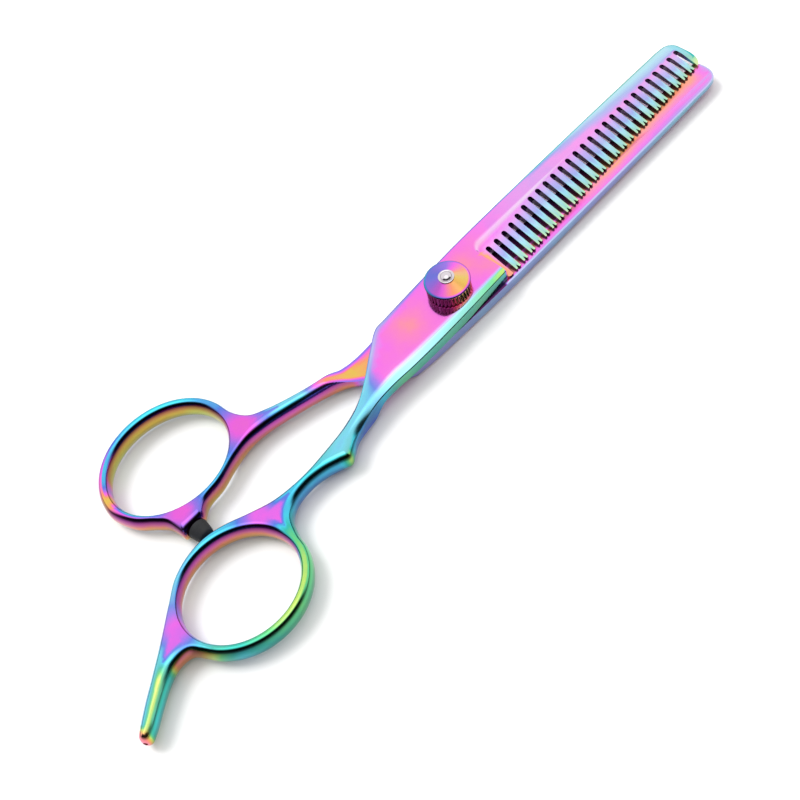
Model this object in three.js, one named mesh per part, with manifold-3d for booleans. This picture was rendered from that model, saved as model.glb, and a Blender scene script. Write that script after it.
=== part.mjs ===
// Hairdresser's thinning shears, modelled closed, in millimetres.
// +X runs along the closed blades to the tips, +Z is up along the pivot towards the dial.
// Every part is drawn with z = 0 at the plane where the two halves meet: along the blades the
// comb half lies above it and the straight half below. At the end the whole group is raised,
// so that the origin is on the pivot axis at the underside, where the shears rest.
import * as THREE from 'three';
import { mergeVertices } from 'three/addons/utils/BufferGeometryUtils.js';
import Module from 'manifold-3d';

const wasm = await Module();
wasm.setup();

// ---- driving dimensions (mm) ----
const HALF_GAP = 0.05;          // each half stands this far off the z = 0 plane
const PIVOT_THICK = 3.0;        // each half at the pivot
const TIP_THICK = 1.35;         // each half at the blade tips
const HANDLE_HALF_HEIGHT = 2.4; // handles and rings, either side of z = 0
const EDGE_ROUND = 0.85;        // rounding of the forged edges
const HANDLE_X = -34;           // handles are level up to here
const BODY_START_X = -16;       // and the blades' thick part runs from here
const TAPER_START_X = 10;       // to here
const TIP_X = 74.6;
const RAMP_TOP_X = -29.3;       // handle height falls to the blade plane between these two
const RAMP_FOOT_X = -25.4;

const TOOTH_COUNT = 27;
const SLOT_SPACING_X = 2.335;
const SLOT_WIDTH = 1.05;
const SLOT_LEAN_DEG = 2;        // round root leans this far towards the tip
const SLOT_REACH = 12;          // slot cutters run out past the teeth
const FIRST_SLOT_X = 12.1;
const STEP_RUN = 1.2;           // lean of the step between the teeth and the spine
const STEP_START_Y = 2.4;       // foot of that step, at the first tooth
const STEP_END_Y = 4.9;         // and at the tip
const COMB_START_X = 9.9;       // top of the wall where the teeth begin
const TOOTH_TIP_THICK = 0.5;
const TOOTH_SLOPE = 0.215;      // rise of the teeth's ground face, per mm towards the spine
const NOTCH_WIDTH = 0.55;       // V cut in the end of each tooth
const NOTCH_DEPTH = 0.8;
const TOOTH_TIP_LINE = [[10.6, -6.15], [73.4, -1.9]];
const CUTTING_EDGE_LINE = [[12, 0.9], [73.6, -0.55]];
const CUTTING_EDGE_THICK = 0.45;
const CUTTING_BEVEL_WIDTH = 4.4;

const RING_WALL = 2.3;
const THUMB_RING = { x: -60.1, y: 17.3, a: 12.5, b: 10.1 };
const FINGER_RING = { x: -69.6, y: -12.55, a: 11.85, b: 10.15 };
const TANG_END = [-99.5, -19.9];
const TANG_END_R = 1.3;
const DIMPLE_R = 0.45;
const DIMPLE_DEPTH = 1.0;
const TANG_DEG = 34;            // the tang's own direction in plan

const SHAFT_R = 2.0;            // pivot bolt shaft
const RUNNING_GAP = 0.05;       // radial, between turning parts
const SEAT_GAP = 0.05;          // between parts that bear on each other
const BOLT_HEAD_R = 4.0;
const BOLT_HEAD_THICK = 1.15;
const KEY_WIDTH = 4.2;          // square under the bolt head, which keeps the bolt from turning
const KEY_TOP_Z = -0.95;
const WASHER_R = 4.6;           // friction washer between the halves
const WASHER_THICK = 0.4;
const BUSH_R = 2.8;
const DISC_R = 3.6;             // disc spring and click plate, inside the dial's pocket
const DISC_SPRING_THICK = 0.25;
const DISC_SPRING_RISE = 0.15;  // height of its cone as fitted
const CLICK_PLATE_THICK = 0.35;
const SHAFT_TOP_Z = 3.95;
const THREAD_R = 1.6;
const THREAD_TOP_Z = 5.7;

const DIAL_R = 4.55;
const DIAL_BOTTOM_Z = 3.1;
const DIAL_RIM_Z = 6.0;
const DIAL_TOP_Z = 6.9;
const DIAL_TOP_R = 1.8;
const DIAL_POCKET_R = 3.75;
const DIAL_POCKET_TOP_Z = 4.05;
const KNURL_TEETH = 36;
const KNURL_DEPTH = 0.2;
const KNURL_INSET = 0.15;       // knurled grip stands in from the rim above it
const RIM_THICK = 0.4;
const RIM_CHAMFER = 0.2;
const SCREW_HEAD_R = 1.6;
const SCREW_COLLAR_THICK = 0.3;
const SCREW_DOME_R = 1.15;
const SCREW_HEAD_TOP_Z = 7.75;
const SCREW_SHOULDER_R = 1.1;
const SCREW_STEM_R = 0.75;
const SCREW_STEM_BOTTOM_Z = 4.1;

const BUMPER_X = -66.2;
const BOSS_Y = 3.2;             // flat end of the boss that carries the bumper
const BUMPER_END_Y = 0.15;
const BUMPER_ROOT_R = 2.1;
const BUMPER_END_R = 1.7;
const BUMPER_CHAMFER = 0.4;
const BUMPER_STEM_R = 0.7;
const BUMPER_STEM_LENGTH = 1.7;

const ROUND_SEGMENTS = 40;
const RING_SEGMENTS = 44;
const ARC_SEGMENTS = 24;
const CURVE_SEGMENTS = 4;
const DOME_STEPS = 5;
const FAR = 130;                // cutters reach this far along and across the part
const OVER = 5;                 // and at least this far above or below it
const OVERLAP = 0.1;            // between the bodies joined into one part

const { clamp, degToRad, lerp, smoothstep } = THREE.MathUtils;

// ---- geometry helpers ----
function toSolid(geometry) {
  const bare = geometry.clone();
  bare.deleteAttribute('normal');
  bare.deleteAttribute('uv');
  const merged = mergeVertices(bare, 1e-4);
  return new wasm.Manifold(new wasm.Mesh({
    numProp: 3,
    vertProperties: new Float32Array(merged.attributes.position.array),
    triVerts: new Uint32Array(merged.index.array),
  }));
}

function toGeometry(solid) {
  const mesh = solid.getMesh();
  const geometry = new THREE.BufferGeometry();
  geometry.setAttribute('position', new THREE.BufferAttribute(mesh.vertProperties, 3));
  geometry.setIndex(new THREE.BufferAttribute(mesh.triVerts, 1));
  geometry.computeVertexNormals();
  return geometry;
}

// Round bar along Z.
function bar(radius, z0, z1) {
  const geometry = new THREE.CylinderGeometry(radius, radius, z1 - z0, ROUND_SEGMENTS);
  geometry.rotateX(Math.PI / 2);
  geometry.translate(0, 0, (z0 + z1) / 2);
  return toSolid(geometry);
}

// Solid of revolution about Z. The profile of [radius, z] pairs climbs its outer side, and
// starts and ends on the axis or closes on itself.
function turned(profile) {
  const points = profile.map(([radius, z]) => new THREE.Vector2(radius, z));
  const geometry = new THREE.LatheGeometry(points, ROUND_SEGMENTS);
  geometry.rotateX(Math.PI / 2);
  return toSolid(geometry);
}

function washer(inner, outer, z0, z1) {
  return turned([[inner, z0], [outer, z0], [outer, z1], [inner, z1], [inner, z0]]);
}

// Box centred on x = y = 0, between two heights.
function slab(width, depth, z0, z1) {
  const geometry = new THREE.BoxGeometry(width, depth, z1 - z0);
  geometry.translate(0, 0, (z0 + z1) / 2);
  return toSolid(geometry);
}

// Prism along X whose four-cornered [y, z] section changes from one end to the other.
function loftX(x0, section0, x1, section1) {
  const first = section0.map(([y, z]) => [x0, y, z]);
  const last = section1.map(([y, z]) => [x1, y, z]);
  const quads = [[3, 2, 1, 0], [4, 5, 6, 7]];
  for (let i = 0; i < 4; i += 1) {
    const j = (i + 1) % 4;
    quads.push([i, j, j + 4, i + 4]);
  }
  const geometry = new THREE.BufferGeometry();
  geometry.setAttribute('position', new THREE.Float32BufferAttribute([...first, ...last].flat(), 3));
  geometry.setIndex(quads.flatMap(([a, b, c, d]) => [a, b, c, a, c, d]));
  const solid = toSolid(geometry);
  if (solid.volume() > 0) return solid;
  geometry.setIndex(quads.flatMap(([a, b, c, d]) => [c, b, a, d, c, a]));
  return toSolid(geometry);
}

// Upright prism on a plan outline.
function upright(shape, z0, z1) {
  const geometry = new THREE.ExtrudeGeometry(shape, {
    depth: z1 - z0,
    bevelEnabled: false,
    curveSegments: CURVE_SEGMENTS,
  });
  geometry.translate(0, 0, z0);
  return toSolid(geometry);
}

function smooth(shape, points) {
  shape.splineThru(points.map(([x, y]) => new THREE.Vector2(x, y)));
}

function lines(shape, points) {
  points.forEach(([x, y]) => shape.lineTo(x, y));
}

function onLine([[x0, y0], [x1, y1]], x) {
  return lerp(y0, y1, (x - x0) / (x1 - x0));
}

// ---- the two forged halves ----
// Height of a half's outer face above the z = 0 plane: straight runs between four stations.
function faceHeight(x) {
  if (x > BODY_START_X) {
    return lerp(PIVOT_THICK, TIP_THICK, clamp((x - TAPER_START_X) / (TIP_X - TAPER_START_X), 0, 1));
  }
  return lerp(HANDLE_HALF_HEIGHT, PIVOT_THICK, clamp((x - HANDLE_X) / (BODY_START_X - HANDLE_X), 0, 1));
}

// Outline extruded both ways from z = 0 to height 1, with rounded edges, then stretched to
// faceHeight one straight run at a time so that every face stays flat.
function forging(shape) {
  const roundShare = EDGE_ROUND / PIVOT_THICK;
  const geometry = new THREE.ExtrudeGeometry(shape, {
    depth: 2 - 2 * roundShare,
    bevelThickness: roundShare,
    bevelSize: EDGE_ROUND,
    bevelOffset: -EDGE_ROUND,
    bevelSegments: 2,
  });
  geometry.translate(0, 0, roundShare - 1);
  const blank = toSolid(geometry);
  const stations = [-FAR, HANDLE_X, BODY_START_X, TAPER_START_X, FAR];
  const runs = stations.slice(1).map((end, i) => {
    const start = stations[i];
    const window = slab(end - start, FAR, -OVER, OVER).translate([(start + end) / 2, 0, 0]);
    const run = toGeometry(blank.intersect(window));
    const position = run.attributes.position;
    for (let k = 0; k < position.count; k += 1) {
      position.setZ(k, position.getZ(k) * faceHeight(position.getX(k)));
    }
    return toSolid(run);
  });
  return runs.reduce((whole, run) => whole.add(run));
}

// Everything on the other half's side of the blade plane, back to the sloping ramp.
function otherHalfSpace(side) {
  const rampRun = RAMP_FOOT_X - RAMP_TOP_X;
  const shape = new THREE.Shape();
  shape.moveTo(RAMP_FOOT_X, -side * HALF_GAP);
  shape.lineTo(FAR, -side * HALF_GAP);
  shape.lineTo(FAR, side * 2 * HANDLE_HALF_HEIGHT);
  shape.lineTo(RAMP_FOOT_X - 2 * rampRun, side * 2 * HANDLE_HALF_HEIGHT);
  const geometry = new THREE.ExtrudeGeometry(shape, { depth: 2 * FAR, bevelEnabled: false });
  geometry.rotateX(Math.PI / 2);
  geometry.translate(0, FAR, 0);
  return toSolid(geometry);
}

// Closed shape from an outline that ends where it starts, with a finger hole.
function withRingHole(path, { x, y, a, b }) {
  const shape = new THREE.Shape(path.getPoints(CURVE_SEGMENTS).slice(0, -1));
  const curve = new THREE.EllipseCurve(x, y, a, b, 0, 2 * Math.PI, false);
  shape.holes.push(new THREE.Path(curve.getPoints(RING_SEGMENTS).slice(0, -1)));
  return shape;
}

// Outside of a finger ring, from one direction round to another.
function outerArc(shape, { x, y, a, b }, startDeg, endDeg) {
  const [start, end] = [startDeg, endDeg].map(degToRad);
  const arc = new THREE.EllipseCurve(x, y, a + RING_WALL, b + RING_WALL, start, end, end < start);
  arc.getPoints(ARC_SEGMENTS).forEach((point) => shape.lineTo(point.x, point.y));
}

function combOutline() {
  const shape = new THREE.Path();
  shape.moveTo(-15.2, 5.45);
  lines(shape, [[7, 6.5], [40, 7.0], [70.9, 6.95]]);
  smooth(shape, [[73.2, 6.65], [74.5, 5.4], [74.8, 3.2], [74.7, 0.3], [74.2, -1.2], [73.4, -1.9]]);
  lines(shape, [[10.6, -6.15], [9.9, -5.85], [0, -6.2], [-12, -6.4]]);
  smooth(shape, [[-17, -6.3], [-22, -6.0], [-27, -6.2], [-31, -7.0], [-34.4, -8.0], [-36.6, -9.3]]);
  smooth(shape, [[-38.3, -10.2], [-40.1, -9.5], [-43.2, -8.4], [-47, -7.9], [-51, -8.5], [-53.7, -10.2]]);
  outerArc(shape, FINGER_RING, -6, -160);
  smooth(shape, [[-84.2, -14.9], [-87, -14.7], [-90, -15.8], [-94, -18.1], [-97.1, -20.1]]);
  shape.absarc(...TANG_END, TANG_END_R, degToRad(TANG_DEG - 90), degToRad(TANG_DEG - 270), true);
  smooth(shape, [[-96.2, -15.8], [-92.2, -13.1], [-84.5, -7.8], [-80.5, -4.9], [-76.5, -2.1], [-72, -0.5]]);
  smooth(shape, [[-67.4, -0.15], [-63.4, -1.0], [-58, -3.2], [-53, -4.8], [-46.5, -5.4], [-38.6, -4.8]]);
  smooth(shape, [[-33.6, -4.2], [-29, -3.1], [-25, -0.9], [-20, 2.5], [-15.2, 5.45]]);
  return withRingHole(shape, FINGER_RING);
}

function straightOutline() {
  const shape = new THREE.Path();
  shape.moveTo(-16.2, -5.6);
  lines(shape, [[-12, -6.0], [-4, -6.3], [6, -6.55], [20, -6.7], [71, -6.75]]);
  smooth(shape, [[72.8, -6.25], [74.0, -4.7], [74.2, -2.3]]);
  lines(shape, [[73.6, -0.55], [12, 0.9]]);
  smooth(shape, [[9.6, 1.9], [7.6, 4.4], [4.5, 6.0], [0, 6.3]]);
  lines(shape, [[-14, 5.9]]);
  smooth(shape, [[-18, 5.5], [-22, 5.5], [-26, 6.1], [-29.3, 6.8]]);
  smooth(shape, [[-36.6, 9.1], [-40.6, 10.7], [-43.6, 12.4], [-45.1, 15.2]]);
  outerArc(shape, THUMB_RING, 0, 180);
  smooth(shape, [[-73.5, 12.6], [-70.9, 9.3], [-69.3, 6.2]]);
  lines(shape, [[-69.0, BOSS_Y], [-63.9, BOSS_Y]]);
  smooth(shape, [[-61.5, 4.9], [-57, 5.6], [-52, 7.1], [-47.5, 7.9], [-43.4, 7.6], [-35.4, 5.6]]);
  smooth(shape, [[-27.3, 2.9], [-24.6, 1.0], [-22, -1.6], [-19, -4.1], [-16.2, -5.6]]);
  return withRingHole(shape, THUMB_RING);
}

// Height of the slots' round roots across the blade.
function slotRootY(x) {
  return lerp(0.9, 2.4, smoothstep(x, 15, 28)) + lerp(0, 1.0, clamp((x - 28) / 45, 0, 1));
}

function slotCutter(index) {
  const x = FIRST_SLOT_X + index * SLOT_SPACING_X;
  const radius = SLOT_WIDTH / 2;
  const shape = new THREE.Shape();
  shape.moveTo(radius, -SLOT_REACH);
  shape.lineTo(radius, 0);
  shape.absarc(0, 0, radius, 0, Math.PI, false);
  shape.lineTo(-radius, -SLOT_REACH);
  return upright(shape, -OVER, OVER).rotate([0, 0, -SLOT_LEAN_DEG])
    .translate([x, slotRootY(x), 0]);
}

function notchCutter(index) {
  const rootX = FIRST_SLOT_X + (index + 0.5) * SLOT_SPACING_X;
  const toothLength = slotRootY(rootX) - onLine(TOOTH_TIP_LINE, rootX);
  const tipX = rootX - Math.tan(degToRad(SLOT_LEAN_DEG)) * toothLength;
  const shape = new THREE.Shape();
  shape.moveTo(0, NOTCH_DEPTH);
  shape.lineTo(-NOTCH_WIDTH, -NOTCH_DEPTH);
  shape.lineTo(NOTCH_WIDTH, -NOTCH_DEPTH);
  return upright(shape, -OVER, OVER).rotate([0, 0, -SLOT_LEAN_DEG])
    .translate([tipX, onLine(TOOTH_TIP_LINE, tipX), 0]);
}

// The teeth are ground to one even slope, ending in a low step just short of the spine.
function toothSlope() {
  const section = (x, stepY) => {
    const tipY = onLine(TOOTH_TIP_LINE, x);
    const outY = tipY - 2;
    const slopeZ = (y) => TOOTH_TIP_THICK + TOOTH_SLOPE * (y - tipY);
    return [[stepY, slopeZ(stepY)], [stepY + STEP_RUN, OVER], [outY, OVER], [outY, slopeZ(outY)]];
  };
  const endX = TIP_X + 1;
  return loftX(COMB_START_X, section(COMB_START_X, STEP_START_Y), endX, section(endX, STEP_END_Y));
}

function combHalf() {
  let solid = forging(combOutline()).subtract(otherHalfSpace(-1)).subtract(toothSlope());
  for (let i = 0; i < TOOTH_COUNT; i += 1) solid = solid.subtract(slotCutter(i));
  for (let i = 0; i < TOOTH_COUNT - 1; i += 1) solid = solid.subtract(notchCutter(i));
  const dimple = bar(DIMPLE_R, TANG_END_R - DIMPLE_DEPTH, OVER).rotate([0, -90, 0]).rotate([0, 0, TANG_DEG])
    .translate([...TANG_END, 0]);
  return solid.subtract(bar(BUSH_R + SEAT_GAP, -OVER, OVER)).subtract(dimple);
}

function straightHalf() {
  const under = (x) => {
    const edgeY = onLine(CUTTING_EDGE_LINE, x);
    const innerY = edgeY - CUTTING_BEVEL_WIDTH;
    const fall = (faceHeight(x) - CUTTING_EDGE_THICK) / CUTTING_BEVEL_WIDTH;
    const outZ = -CUTTING_EDGE_THICK + fall * 2;
    return [[innerY, -faceHeight(x)], [innerY, -OVER], [edgeY + 2, -OVER], [edgeY + 2, outZ]];
  };
  const bevel = loftX(COMB_START_X, under(COMB_START_X), TIP_X + 1, under(TIP_X + 1));
  const washerSeat = bar(WASHER_R + SEAT_GAP, -WASHER_THICK - SEAT_GAP, 1);
  const headSeat = bar(BOLT_HEAD_R + SEAT_GAP, -OVER, BOLT_HEAD_THICK - PIVOT_THICK + SEAT_GAP);
  const keySeatWidth = KEY_WIDTH + 2 * SEAT_GAP;
  const keySeat = slab(keySeatWidth, keySeatWidth, -OVER, KEY_TOP_Z + SEAT_GAP);
  const stemHole = bar(BUMPER_STEM_R + SEAT_GAP, -2, BUMPER_STEM_LENGTH + 2 * SEAT_GAP)
    .rotate([-90, 0, 0]).translate([BUMPER_X, BOSS_Y, 0]);
  return forging(straightOutline()).subtract(otherHalfSpace(1)).subtract(bevel)
    .subtract(washerSeat).subtract(headSeat).subtract(keySeat)
    .subtract(bar(SHAFT_R + SEAT_GAP, -OVER, OVER)).subtract(stemHole);
}

// ---- pivot hardware ----
function pivotBolt() {
  const headTop = BOLT_HEAD_THICK - PIVOT_THICK;
  const head = bar(BOLT_HEAD_R, -PIVOT_THICK, headTop);
  const key = slab(KEY_WIDTH, KEY_WIDTH, headTop - OVERLAP, KEY_TOP_Z);
  const shaft = bar(SHAFT_R, KEY_TOP_Z - OVERLAP, SHAFT_TOP_Z);
  const thread = bar(THREAD_R, SHAFT_TOP_Z - OVERLAP, THREAD_TOP_Z);
  const tapped = bar(SCREW_STEM_R + SEAT_GAP, SCREW_STEM_BOTTOM_Z - SEAT_GAP, THREAD_TOP_Z + 1);
  return head.add(key).add(shaft).add(thread).subtract(tapped);
}

function discSpring() {
  const inner = SHAFT_R + RUNNING_GAP;
  const low = PIVOT_THICK + SEAT_GAP;
  const crown = low + DISC_SPRING_RISE;
  return turned([
    [inner, crown], [DISC_R, low], [DISC_R, low + DISC_SPRING_THICK],
    [inner, crown + DISC_SPRING_THICK], [inner, crown],
  ]);
}

function clickPlate() {
  const z0 = PIVOT_THICK + 3 * SEAT_GAP + DISC_SPRING_RISE + DISC_SPRING_THICK;
  return washer(SHAFT_R + RUNNING_GAP, DISC_R, z0, z0 + CLICK_PLATE_THICK);
}

function dialNut() {
  const shape = new THREE.Shape();
  for (let i = 0; i < 2 * KNURL_TEETH; i += 1) {
    const radius = DIAL_R - KNURL_INSET - (i % 2) * KNURL_DEPTH;
    const angle = (i * Math.PI) / KNURL_TEETH;
    const point = [radius * Math.cos(angle), radius * Math.sin(angle)];
    if (i === 0) shape.moveTo(...point);
    else shape.lineTo(...point);
  }
  const rimBottom = DIAL_RIM_Z - RIM_THICK;
  const grip = upright(shape, DIAL_BOTTOM_Z, rimBottom + OVERLAP);
  const cap = turned([
    [0, rimBottom - OVERLAP], [DIAL_R - RIM_CHAMFER, rimBottom - OVERLAP], [DIAL_R, rimBottom],
    [DIAL_R, DIAL_RIM_Z - RIM_CHAMFER], [DIAL_R - RIM_CHAMFER, DIAL_RIM_Z],
    [DIAL_TOP_R, DIAL_TOP_Z], [0, DIAL_TOP_Z],
  ]);
  const threadHole = bar(THREAD_R + RUNNING_GAP, 0, THREAD_TOP_Z + 2 * SEAT_GAP);
  const shoulderHole = bar(SCREW_SHOULDER_R + RUNNING_GAP, 0, DIAL_TOP_Z + 1);
  return grip.add(cap).subtract(bar(DIAL_POCKET_R, 0, DIAL_POCKET_TOP_Z))
    .subtract(threadHole).subtract(shoulderHole);
}

function retainingScrew() {
  const headBottom = DIAL_TOP_Z + SEAT_GAP;
  const domeBottom = headBottom + SCREW_COLLAR_THICK;
  const profile = [
    [0, SCREW_STEM_BOTTOM_Z], [SCREW_STEM_R, SCREW_STEM_BOTTOM_Z], [SCREW_STEM_R, THREAD_TOP_Z + SEAT_GAP],
    [SCREW_SHOULDER_R, THREAD_TOP_Z + SEAT_GAP], [SCREW_SHOULDER_R, headBottom],
    [SCREW_HEAD_R, headBottom], [SCREW_HEAD_R, domeBottom - OVERLAP],
    [SCREW_DOME_R + OVERLAP, domeBottom],
  ];
  for (let i = 0; i <= DOME_STEPS; i += 1) {
    const angle = (i * Math.PI) / 2 / DOME_STEPS;
    profile.push([SCREW_DOME_R * Math.cos(angle), lerp(domeBottom, SCREW_HEAD_TOP_Z, Math.sin(angle))]);
  }
  profile[profile.length - 1][0] = 0;
  return turned(profile);
}

// Drawn along Z with its stem up, and laid along Y when it is placed.
function bumper() {
  const root = -SEAT_GAP;
  const end = BUMPER_END_Y - BOSS_Y;
  return turned([
    [0, end], [BUMPER_END_R - BUMPER_CHAMFER, end], [BUMPER_END_R, end + BUMPER_CHAMFER],
    [BUMPER_ROOT_R, root - BUMPER_CHAMFER], [BUMPER_ROOT_R - BUMPER_CHAMFER, root],
    [BUMPER_STEM_R, root], [BUMPER_STEM_R, BUMPER_STEM_LENGTH], [0, BUMPER_STEM_LENGTH],
  ]);
}

// ---- scene graph ----
const coated = { roughness: 0.12, metalness: 1 };
const finish = {
  magenta: new THREE.MeshStandardMaterial({ color: 0xf277ea, ...coated }),
  violet: new THREE.MeshStandardMaterial({ color: 0x8f7fd6, ...coated }),
  cyan: new THREE.MeshStandardMaterial({ color: 0x6fd3e6, ...coated }),
  steel: new THREE.MeshStandardMaterial({ color: 0xc9c9cb, roughness: 0.18, metalness: 1 }),
  springSteel: new THREE.MeshStandardMaterial({ color: 0x9a9a9d, roughness: 0.35, metalness: 1 }),
  nylon: new THREE.MeshStandardMaterial({ color: 0xe8e6df, roughness: 0.5, metalness: 0 }),
  rubber: new THREE.MeshStandardMaterial({ color: 0x17181a, roughness: 0.75, metalness: 0 }),
};

const shears = new THREE.Group();

function place(parent, name, geometry, material) {
  const mesh = new THREE.Mesh(geometry, material);
  mesh.name = name;
  parent.add(mesh);
  return mesh;
}

place(shears, 'straight_half', toGeometry(straightHalf()), finish.violet);
place(shears, 'comb_half', toGeometry(combHalf()), finish.magenta);

const pivot = new THREE.Group();
pivot.name = 'pivot';
shears.add(pivot);
const ringInner = SHAFT_R + RUNNING_GAP;
const frictionWasher = washer(ringInner, WASHER_R, -WASHER_THICK, 0);
const pivotBush = washer(ringInner, BUSH_R, 2 * HALF_GAP, PIVOT_THICK - SEAT_GAP);
place(pivot, 'pivot_bolt', toGeometry(pivotBolt()), finish.steel);
place(pivot, 'friction_washer', toGeometry(frictionWasher), finish.nylon);
place(pivot, 'pivot_bush', toGeometry(pivotBush), finish.nylon);
place(pivot, 'disc_spring', toGeometry(discSpring()), finish.springSteel);
place(pivot, 'click_plate', toGeometry(clickPlate()), finish.springSteel);
place(pivot, 'dial_nut', toGeometry(dialNut()), finish.cyan);
place(pivot, 'retaining_screw', toGeometry(retainingScrew()), finish.steel);

const stop = place(shears, 'bumper', toGeometry(bumper()), finish.rubber);
stop.position.set(BUMPER_X, BOSS_Y, 0);
stop.rotation.x = -Math.PI / 2;
shears.position.z = PIVOT_THICK;

export default shears;
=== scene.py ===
"""Looks of the thinning shears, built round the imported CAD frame. Drawn in millimetres with z = 0 at
the plane where the two halves meet, then scaled to metres and raised to rest on the ground."""
import math

import bmesh
import bpy
import numpy as np
from mathutils import Matrix, Vector
from mathutils.geometry import delaunay_2d_cdt


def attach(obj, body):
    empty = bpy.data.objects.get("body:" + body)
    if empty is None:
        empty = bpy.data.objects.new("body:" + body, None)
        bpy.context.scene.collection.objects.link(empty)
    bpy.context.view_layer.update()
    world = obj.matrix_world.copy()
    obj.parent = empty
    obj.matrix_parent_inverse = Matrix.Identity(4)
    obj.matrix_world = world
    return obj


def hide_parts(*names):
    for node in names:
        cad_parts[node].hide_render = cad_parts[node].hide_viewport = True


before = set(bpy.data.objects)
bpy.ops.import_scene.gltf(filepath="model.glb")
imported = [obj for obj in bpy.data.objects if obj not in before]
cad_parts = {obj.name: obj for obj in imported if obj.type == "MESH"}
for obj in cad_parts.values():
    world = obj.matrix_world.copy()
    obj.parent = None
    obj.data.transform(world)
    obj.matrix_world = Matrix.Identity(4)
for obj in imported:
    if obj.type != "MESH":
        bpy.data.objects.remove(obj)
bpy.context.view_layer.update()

MM = 0.001
BLADE_PLANE_Z = 3.0  # height of the plane between the halves above the ground

# ---- shared dimensions, as in the CAD ----
HALF_GAP = 0.05
PIVOT_THICK, TIP_THICK, HANDLE_HALF_HEIGHT = 3.0, 1.35, 2.4
HANDLE_X, BODY_START_X, TAPER_START_X, TIP_X = -34.0, -16.0, 10.0, 74.6
RAMP_TOP_X, RAMP_FOOT_X = -29.3, -25.4
TOOTH_COUNT, SLOT_SPACING, SLOT_WIDTH, SLOT_LEAN = 27, 2.335, 1.05, math.radians(2)
FIRST_SLOT_X, COMB_START_X = 12.1, 9.9
TOOTH_TIP_THICK, TOOTH_SLOPE = 0.5, 0.215
NOTCH_HALF_WIDTH, NOTCH_DEPTH = 0.275, 0.8
RING_WALL = 2.3
THUMB_RING = dict(x=-60.1, y=17.3, a=12.5, b=10.1)
FINGER_RING = dict(x=-69.6, y=-12.55, a=11.85, b=10.15)
TANG_END, TANG_END_R, TANG_DEG = (-99.5, -19.9), 1.3, 34
BUSH_HOLE_R = 2.85
WASHER_SEAT_R, WASHER_SEAT_Z = 4.65, -0.45
HEAD_SEAT_R, HEAD_SEAT_Z = 4.05, -1.8
KEY_SEAT_HALF, KEY_SEAT_Z, SHAFT_HOLE_R = 2.15, -0.9, 2.05
CUTTING_EDGE_THICK, CUTTING_BEVEL_WIDTH = 0.45, 4.4
BUMPER_X, BOSS_Y, BUMPER_END_Y = -66.2, 3.2, 0.15
SPINE_Y = 6.95  # the comb half's straight back
HEEL = (-38.3, -10.2)  # corner where its neck meets the shank
SPLIT_START_X, SPLIT_X = RAMP_FOOT_X + 1.4, RAMP_FOOT_X + 1.5  # where the ramp has become the inner face
RAMP_START_X = RAMP_TOP_X - 4
SEAT_WALL = 0.02  # plan width of an upright wall between two levels

STEP = 0.4  # spacing of points along an outline
TOWARDS_VIEWER = np.array([-0.54, -0.84, 0.0])  # the side of the object that faces the camera


# ---- plan outlines ----
def smoothstep(x, a, b):
    t = np.clip((x - a) / (b - a), 0, 1)
    return t * t * (3 - 2 * t)


def lerp(a, b, t):
    return a + (b - a) * t


def along(value, *stops):
    """Piecewise-linear value through (place, value) stops."""
    return np.interp(value, [s[0] for s in stops], [s[1] for s in stops])


def spline(points, step=STEP):
    """Evenly spaced points on a centripetal Catmull-Rom curve through the given points."""
    p = np.array(points, float)
    p = np.vstack([2 * p[0] - p[1], p, 2 * p[-1] - p[-2]])
    out = []
    for p0, p1, p2, p3 in zip(p, p[1:], p[2:], p[3:]):
        k = [np.linalg.norm(b - a) ** 0.5 for a, b in ((p0, p1), (p1, p2), (p2, p3))]
        t0, t1, t2, t3 = np.cumsum([0.0] + k)
        count = max(2, int(np.linalg.norm(p2 - p1) / step * 4))
        t = np.linspace(t1, t2, count, endpoint=False)[:, None]
        a1 = (t1 - t) / (t1 - t0) * p0 + (t - t0) / (t1 - t0) * p1
        a2 = (t2 - t) / (t2 - t1) * p1 + (t - t1) / (t2 - t1) * p2
        a3 = (t3 - t) / (t3 - t2) * p2 + (t - t2) / (t3 - t2) * p3
        b1 = (t2 - t) / (t2 - t0) * a1 + (t - t0) / (t2 - t0) * a2
        b2 = (t3 - t) / (t3 - t1) * a2 + (t - t1) / (t3 - t1) * a3
        out.append((t2 - t) / (t2 - t1) * b1 + (t - t1) / (t2 - t1) * b2)
    return evenly(np.vstack(out + [p[-2:-1]]), step)


def evenly(path, step=STEP):
    run = np.concatenate([[0], np.cumsum(np.linalg.norm(np.diff(path, axis=0), axis=1))])
    at = np.linspace(0, run[-1], max(2, int(round(run[-1] / step)) + 1))
    return np.column_stack([np.interp(at, run, path[:, i]) for i in (0, 1)])


def arc(x, y, a, b, start, end, every=12):
    steps = max(2, int(abs(end - start) / every))
    t = np.radians(np.linspace(start, end, steps + 1))
    return [(x + a * math.cos(k), y + b * math.sin(k)) for k in t]


def ring_arc(ring, start, end):
    return arc(ring["x"], ring["y"], ring["a"] + RING_WALL, ring["b"] + RING_WALL, start, end)


def ring_hole(ring):
    return np.array(arc(ring["x"], ring["y"], ring["a"], ring["b"], 0, 360, 2))[:-1]


def circle(radius, every=5):
    return np.array(arc(0, 0, radius, radius, 0, 360, every))[:-1]


def square(half):
    return np.array([(-half, -half), (half, -half), (half, half), (-half, half)])


def tip_line_y(x):
    return lerp(-6.15, -1.9, (x - 10.6) / (73.4 - 10.6))


def slot_root_y(x):
    return lerp(0.9, 2.4, smoothstep(x, 15, 28)) + np.clip((x - 28) / 45, 0, 1)


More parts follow.
